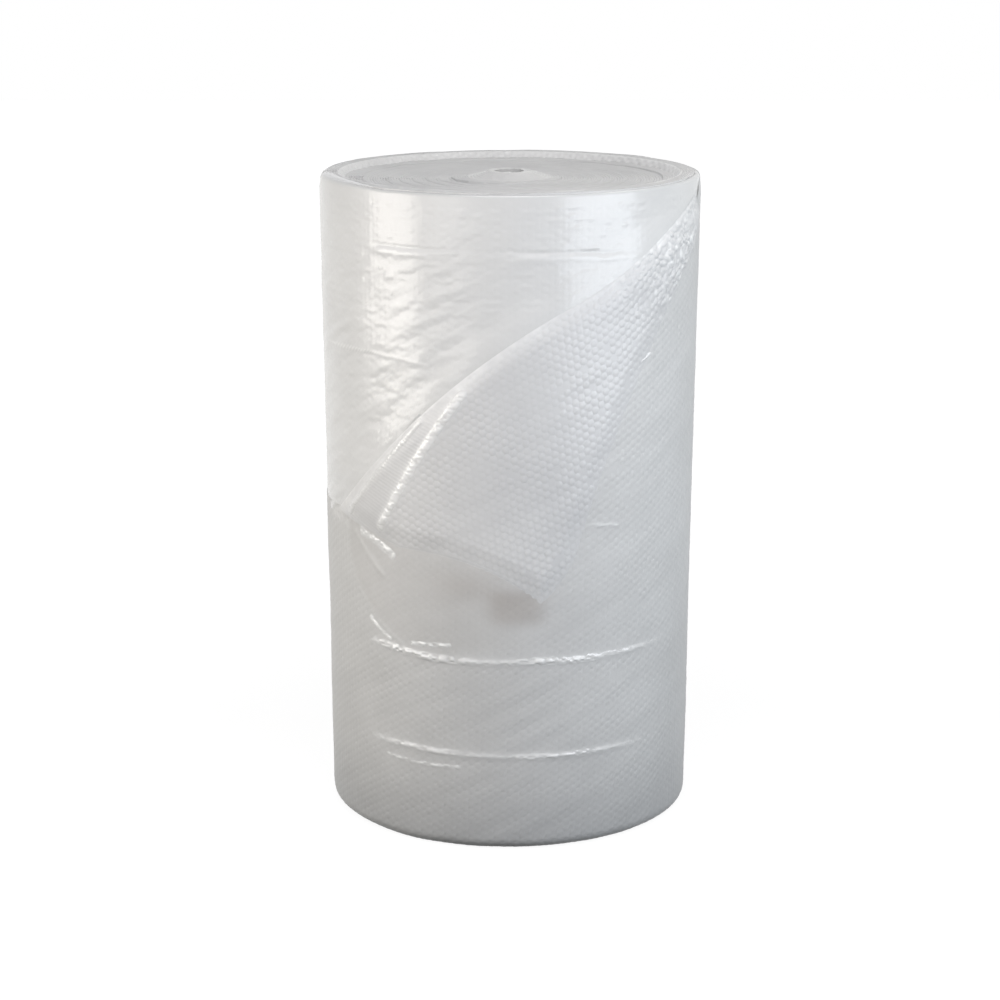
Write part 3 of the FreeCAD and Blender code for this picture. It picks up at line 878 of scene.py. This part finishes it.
# %% Bubbles of the folded corner
def between_pleats(u, v):
    """1 between the fold and the right pleat, 0 elsewhere."""
    pleat = np.interp(v, RIGHT_PLEAT[::-1, 1], RIGHT_PLEAT[::-1, 0])
    return smooth_step(pleat - u, -2 * MM, 6 * MM) * (1 - smooth_step(v, 0.74 + FOOT_WAY, 0.79 + FOOT_WAY))


def near_end(u, v):
    """1 where the fold's upper end is crumpled, at the right."""
    return spot(u, v, 62, 0.90, 0.12, 0.09)


def corner_bubbles(u, v, crumpled):
    """The web's own rows of bubbles, in the mirror of the fold. Crumpling pushes them out of their rows."""
    mirror_u = u * math.cos(2 * FOLD_SLOPE) + v * math.sin(2 * FOLD_SLOPE)
    mirror_v = u * math.sin(2 * FOLD_SLOPE) - v * math.cos(2 * FOLD_SLOPE)
    aside = 8 * MM * crumpled * waves(u, v, 0.019, 0.019, 33)
    ahead = 8 * MM * crumpled * waves(u, v, 0.019, 0.019, 34)
    return bubbles(mirror_u + aside, mirror_v + ahead, 2.0)


def corner_domes(u, v, crumpled, tamed):
    """The corner's bubbles, standing full, and fullest where it is crumpled."""
    uneven = 0.45 + 0.15 * waves(u, v, 0.05, 0.05, 36)
    uneven = uneven + 1.3 * crumpled * (0.7 + 0.6 * waves(u, v, 0.02, 0.02, 37))
    return np.clip(uneven, 0.1, 3) * MM * tamed * corner_bubbles(u, v, crumpled)


# %% Relief of the folded corner
def corner_lift(u, v):
    """Height of the folded corner over the plain winding."""
    from_fold = distance_to(FOLD, u, v)[0]
    from_edge = np.minimum.reduce([distance_to(line, u, v)[0] for line in (RIGHT_EDGE, LOW_EDGE, END_EDGE)])
    hem = 0.15 * smooth_step(from_fold, 0, 3 * MM) + 0.85 * smooth_step(from_fold, 0, 26 * MM)
    base = 0.4 * smooth_step(from_edge, 0, 4 * MM) + 3.5 * smooth_step(from_edge, 0, 34 * MM)
    right = ridge(RIGHT_PLEAT, u, v, 8 * MM, 0.03)
    left = ridge(LEFT_PLEAT, u, v, 7 * MM, 0.03)
    between = between_pleats(u, v)
    crumpled = near_end(u, v)
    inside = smooth_step(from_edge, 0, 8 * MM)
    tamed = inside * smooth_step(from_fold, 0, (10 - 5 * crumpled) * MM)
    tamed = tamed * np.clip(1 - 1.2 * right, 0, 1) * (1 - 0.9 * between)
    folds = 2.3 * np.abs(waves(*turned(u, v, 30), 0.019, 0.011, 31)) + 0.9 * waves(u, v, 0.008, 0.007, 38)
    crumple = MM * crumpled * folds * inside * smooth_step(from_fold, 0, 6 * MM)
    hatch = 0.07 * MM * between * np.sin(2 * math.pi * (v * 0.94 + u * 0.34) / (5.5 * MM)) * hem
    fuzz = 0.16 * MM * waves(u, v, 0.004, 0.004, 39) * (right + left)
    pleats = (1.7 * MM * right + 1.3 * MM * left + fuzz) * smooth_step(from_fold, 0, 8 * MM)
    relief = pleats + corner_domes(u, v, crumpled, tamed) + crumple + hatch
    return base * MM * hem + relief + wall_slack(u, v) - 0.45 * MM


# %% Tones of the folded corner
# How strongly the highlight painted along the fold shows, along the girth.
HEM_MARKS = [
    (-65, 0.7), (-52, 0.5), (-40, 0.25), (-30, 0.5), (-20, 0.8), (-10, 0.8), (6, 0.6), (20, 0.3), (40, 0.15),
]


def corner_crease(u, v):
    """How much whiter the corner is: doubled film in its hem and pleats with highlights painted along them,
    painted highlights on its domes and painted glints where it is crumpled.
    """
    crumpled = near_end(u, v)
    # Noise breaks up the painted highlights of the hem and pleats.
    patchy = 0.85 + 0.3 * waves(u, v, 0.006, 0.006, 40)
    found = 0.95 * ridge(RIGHT_PLEAT, u, v, 7.5 * MM, 0.03) + 0.45 * ridge(LEFT_PLEAT, u, v, 7 * MM, 0.05)
    hem = along_girth(u, HEM_MARKS) * bell(distance_to(FOLD, u, v)[0], 13 * MM)
    low_end = spot(u, v, -57, 0.51, 0.03, 0.03)
    sparks = 0.9 * crumpled * smooth_step(waves(u, v, 0.008, 0.007, 35), 0.1, 0.7)
    seen = spot(u, v, 2, 0.46, 0.11, 0.085)
    dots = (0.05 + 0.22 * seen) * smooth_step(corner_bubbles(u, v, crumpled), 0.5, 0.9)
    return patchy * (found + hem + 0.3 * low_end) + sparks + dots


# %% The folded corner and its pleats
LEFT_MARKS = [(-62, 1), (-54, 0.7), (-46, 0.35), (-38, 0.35), (-33, 0.8), (-26, 1)]


def corner_form(u, v):
    """Points of the folded corner's film."""
    return on_wall(u / ROLL_RADIUS, v, corner_lift(u, v))


u, v = corner_places[..., 0], corner_places[..., 1]
corner_inside = hidden_side(u, v, 2.5 * MM)
corner = closed_sheet("folded_corner", corner_form(u, v), corner_inside, normals_of(corner_form, u, v))
paint(corner, "crease", corner_crease(u, v))
ready(corner, BUBBLE_FILM)
gathered("right_pleat", RIGHT_PLEAT, 6.5 * MM, 1.2 * MM, ALL_ALONG, corner_lift, 65, 0.7, 4)
gathered("left_pleat", LEFT_PLEAT, 5 * MM, 1.1 * MM, LEFT_MARKS, corner_lift, 67, 0.6)

# %% [markdown]
# ## The ends of the turns
#
# Both ends of the roll show the web's edge, wound some sixty times. The grid follows the winding itself:
# its lines are spirals, so that the edge of each turn is one clean line with a shallow gap beside it. The
# outer turns stand proud, the ones inside have sunk, and the first turns have crept up as a low cone around
# the open middle.

# %% A disc of wound turns
RING_INSIDE = ROLL_RADIUS - 30 * MM
HEART_RADIUS, HEART_TOP, HEART_RISE = 60 * MM, 34 * MM, 8.5 * MM
SUNK = 9 * MM
GROUPS = 8
GROUP = (RING_INSIDE - SUNK - HEART_RADIUS) / (GROUPS + 2)
DISC_DEPTH = 18 * MM


def end_height(radius, angle):
    """How far the upper end lies above the rim, without the turns' own relief."""
    sink = SUNK * np.clip((RING_INSIDE - radius) / SUNK, 0, 1)
    heart = HEART_RISE * np.clip((HEART_RADIUS - radius) / (HEART_RADIUS - HEART_TOP), 0, 1)
    place = (radius + GROUP * angle / (2 * math.pi) - HEART_RADIUS) / GROUP - 1.25
    part = place % 1.0
    leaning = 1.9 + 1.7 * np.where(part < 0.25, part / 0.25, (1 - part) / 0.75)
    rows = (place > 0) & (place < GROUPS)
    return heart - sink - MM * np.where(rows, leaning, 0.0)


def wound_disc(name, upper, around, across):
    """One end of the roll as a closed ring of turns."""
    angle = np.linspace(0, 2 * math.pi, around + 1)[None, :] + TAIL
    turns = int((ROLL_RADIUS - BORE_RADIUS - RIM_ROUND) / SHEET) - 1
    share = np.arange(turns * across + 1)[:, None] / across
    widest = level_radius(angle, HEIGHT) if upper else level_radius(angle, 0.0) - FOOT_ROUND + RIM_ROUND
    outer = widest - RIM_ROUND - 2 * MM
    radius = outer - (outer - BORE_RADIUS) * (1 - share / turns)
    edge = 0.5 + 0.5 * np.cos(2 * math.pi * share)
    if upper:
        relief = 1.2 * MM * edge + 0.8 * MM * waves(angle * 0.3, share * SHEET, 0.05, 0.011, 41) - 1.0 * MM
        height, deep, order = HEIGHT + end_height(radius, angle) + relief, HEIGHT - DISC_DEPTH, -1
    else:
        height, deep, order = 0.4 * MM + 0.6 * MM * (1 - edge), DISC_DEPTH, 1
    outside, inside = around_axis(radius, angle, height), around_axis(radius, angle, deep)
    piece = closed_sheet(name, outside[::order], inside[::order])
    heart = smooth_step(HEART_RADIUS + 10 * MM - radius, 0, 10 * MM)
    paint(piece, "crease", (0.35 * edge + 0.45 * heart)[::order])
    return ready(piece, EDGE_FILM)


wound_disc("upper_turns", True, 256, 4)
wound_disc("lower_turns", False, 128, 3)

# %% [markdown]
# ## The standing turn
#
# At the upper end the outer turns stand proud of the ones inside them. The innermost one of these shows its
# bubbles, as a low wall that leans in over the sunken turns. It closes on itself, so its grid goes once
# round.

# %% The wall of bubbles inside the proud turns
def round_grid(around, levels):
    """Angles once round the axis, and levels, as two grids."""
    angle = np.tile(np.linspace(2 * math.pi, 0, around + 1), (len(levels), 1))
    return angle, np.tile(levels[:, None], (1, around + 1))


def standing_form(angle, way):
    """Points on the wall: way runs from its foot to its top edge, from 0 to 1."""
    bulge = 1.7 * MM * bubbles(angle * RING_INSIDE, way * 13 * MM - 1 * MM) * smooth_step(1 - way, 0, 0.12)
    leaning = bulge * math.sqrt(0.5)
    radius = RING_INSIDE - (1 - way) * SUNK - 1.2 * MM - leaning
    return around_axis(radius, angle, HEIGHT - (1 - way) * (SUNK + 2 * MM) + leaning + 0.3 * MM)


angle, way = round_grid(720, np.linspace(0, 1, 9))
behind = around_axis(RING_INSIDE + 4 * MM, angle, HEIGHT - 3 * MM - (1 - way) * SUNK)
standing_turn = closed_sheet("standing_turn", standing_form(angle, way), behind)
paint(standing_turn, "crease", 0.35 + 0.3 * way)
ready(standing_turn, BUBBLE_FILM)

# %% [markdown]
# ## The open middle
#
# The first turn was wound on a bar that is gone. Inside it the film shows its bubbles again, on the wall of
# a hole that goes right through. A tube between two radii is enough, as a grid that is closed round the
# girth.

# %% The first turn
angle, level = round_grid(64, np.linspace(3 * MM, HEIGHT - 2.5 * MM, 240))
bore = BORE_RADIUS + 0.5 * MM - 0.5 * MM * bubbles(angle * BORE_RADIUS, level)
bore_inside = around_axis(BORE_RADIUS + 6 * MM, angle, level)
first_turn = closed_sheet("first_turn", around_axis(bore, angle, level), bore_inside, step=4)
paint(first_turn, "crease", np.zeros(angle.shape))
ready(first_turn, EDGE_FILM)

# %% [markdown]
# ## The floor
#
# The photograph is a plain studio shot on white. A white floor would throw so much light up that the foot
# of the roll lost its grey, so the floor's own tone is dark, and a glow makes it white, which only the
# camera, a reflection and clear film see. The glow is a little weaker near the roll, where it leaves the
# shadow visible.

# %% What only the camera and reflections see
def seen_as_background(tree):
    """1 for what the camera, a reflection or clear film sees straight, 0 for scattered light."""
    path = tree.nodes.new("ShaderNodeLightPath")
    total = path.outputs["Is Camera Ray"]
    for other in ("Is Glossy Ray", "Is Transmission Ray"):
        total = maths(tree, "ADD", total, path.outputs[other])
    return total


# %% The floor
FLOOR_REACH, FLOOR_TONE = 12.0, 0.12
GLOW_NEAR, GLOW_FAR = (0.6, 0.93), (2.0, 1.0)


def white_floor():
    """A wide flat floor, with its material."""
    mesh = bpy.data.meshes.new("floor")
    corners = [(x * FLOOR_REACH, y * FLOOR_REACH, 0) for x, y in ((-1, -1), (1, -1), (1, 1), (-1, 1))]
    mesh.from_pydata(corners, [], [(0, 1, 2, 3)])
    floor = bpy.data.objects.new("floor", mesh)
    bpy.context.scene.collection.objects.link(floor)
    material = bpy.data.materials.new("floor_white")
    material.use_nodes = True
    tree = material.node_tree
    shader = tree.nodes["Principled BSDF"]
    shader.inputs["Base Color"].default_value = (FLOOR_TONE, FLOOR_TONE, FLOOR_TONE, 1)
    shader.inputs["Roughness"].default_value = 0.9
    shader.inputs["Specular IOR Level"].default_value = 0.1
    away = tree.nodes.new("ShaderNodeVectorMath")
    away.operation = "LENGTH"
    tree.links.new(tree.nodes.new("ShaderNodeTexCoord").outputs["Object"], away.inputs[0])
    glow = tree.nodes.new("ShaderNodeEmission")
    glow.inputs["Color"].default_value = (1, 1, 1, 1)
    strength = ranged(tree, away.outputs["Value"], GLOW_NEAR[0], GLOW_FAR[0], GLOW_NEAR[1], GLOW_FAR[1])
    tree.links.new(strength, glow.inputs["Strength"])
    both = tree.nodes.new("ShaderNodeAddShader")
    tree.links.new(shader.outputs["BSDF"], both.inputs[0])
    tree.links.new(glow.outputs["Emission"], both.inputs[1])
    pick = tree.nodes.new("ShaderNodeMixShader")
    tree.links.new(seen_as_background(tree), pick.inputs["Fac"])
    tree.links.new(shader.outputs["BSDF"], pick.inputs[1])
    tree.links.new(both.outputs["Shader"], pick.inputs[2])
    tree.links.new(pick.outputs["Shader"], tree.nodes["Material Output"].inputs["Surface"])
    mesh.materials.append(material)
    print("the floor is", 2 * FLOOR_REACH, "m wide")


white_floor()

# %% [markdown]
# ## Light
#
# Glossy film mirrors its lamps, so each soft box stands where its mirror image falls on a glint of the
# photograph. A wide one in front and above gives most of the light. A warm one at the left and a cool one
# at the right make the long pale glints. Weak ones low at the left, high at the right and behind keep those
# sides from going dark, with a little light from all round.

# %% Soft boxes
# Each box has its place, the height that it points at, its size, its power in watts and its tint.
SOFT_BOXES = {
    "front_box": ((0, -1.6, 2.4), 0.75, (1.8, 0.9), 27.5, (1.0, 0.98, 1.0)),
    "left_box": ((-1.48, -0.6, 0.72), 0.75, (0.85, 0.6), 9.2, (1.0, 0.96, 0.90)),
    "low_left_box": ((-0.92, -1.31, 0.8), 0.75, (0.6, 0.5), 2.0, (1.0, 0.97, 0.93)),
    "right_box": ((1.26, -0.98, 0.72), 0.75, (1.25, 0.6), 10.6, (0.87, 0.93, 1.0)),
    "back_box": ((-0.3, 1.9, 2.5), 0.5, (1.4, 0.8), 5.0, (1.0, 1.0, 1.0)),
    "high_right_box": ((1.1, -0.1, 2.1), 0.75, (0.45, 0.5), 5.0, (1.0, 1.0, 0.95)),
}


def soft_box(name, place, aim, size, watts, tint):
    """A soft box at a place, turned to the roll's axis at the height aim."""
    lamp = bpy.data.lights.new(name, "AREA")
    lamp.shape = "RECTANGLE"
    lamp.size, lamp.size_y = size
    lamp.energy = watts
    lamp.color = tint
    thing = bpy.data.objects.new(name, lamp)
    thing.location = place
    thing.rotation_euler = (Vector((0, 0, aim)) - Vector(place)).to_track_quat("-Z", "Y").to_euler()
    bpy.context.scene.collection.objects.link(thing)


for name, box in SOFT_BOXES.items():
    soft_box(name, *box)
print("soft boxes:", len(SOFT_BOXES))


# %% The world
WORLD_LIGHT = 0.11


def plain_world(strength):
    """Dim light from all round, which shows as white behind the roll."""
    world = bpy.data.worlds.new("studio")
    bpy.context.scene.world = world
    world.use_nodes = True
    tree = world.node_tree
    dim = tree.nodes["Background"]
    dim.inputs["Color"].default_value = (0.9, 0.95, 1.0, 1)
    dim.inputs["Strength"].default_value = strength
    white = tree.nodes.new("ShaderNodeBackground")
    white.inputs["Color"].default_value = (1, 1, 1, 1)
    white.inputs["Strength"].default_value = 1.0
    pick = tree.nodes.new("ShaderNodeMixShader")
    tree.links.new(seen_as_background(tree), pick.inputs["Fac"])
    tree.links.new(dim.outputs["Background"], pick.inputs[1])
    tree.links.new(white.outputs["Background"], pick.inputs[2])
    tree.links.new(pick.outputs["Shader"], tree.nodes["World Output"].inputs["Surface"])


plain_world(WORLD_LIGHT)
print("light from all round:", WORLD_LIGHT)

# %% [markdown]
# ## The camera
#
# The camera looks down on the roll a little, so that the upper end shows as a flat ellipse, with a long
# lens that keeps the sides nearly parallel. Its place follows from the ellipses of the two ends and their
# widths.

# %% The camera
CAMERA_PLACE = (-0.0148, -3.9522, 1.4686)
CAMERA_DOWN = 0.2453
LENS = 92.76
camera = bpy.data.cameras.new("camera")
camera.sensor_width = 36
camera.lens = LENS
camera_stand = bpy.data.objects.new("camera", camera)
camera_stand.location = CAMERA_PLACE
camera_stand.rotation_euler = (math.radians(90) - CAMERA_DOWN, 0, 0)
bpy.context.scene.collection.objects.link(camera_stand)
bpy.context.scene.camera = camera_stand
bpy.context.scene.view_settings.view_transform = "Standard"
print("the camera looks down by", round(math.degrees(CAMERA_DOWN), 1), "degrees")

# %% [markdown]
# ## The end
#
# The view layer is brought up to date once more. The dressed roll has to stay within the construction
# model's box.

# %% Update the view layer
bpy.context.view_layer.update()
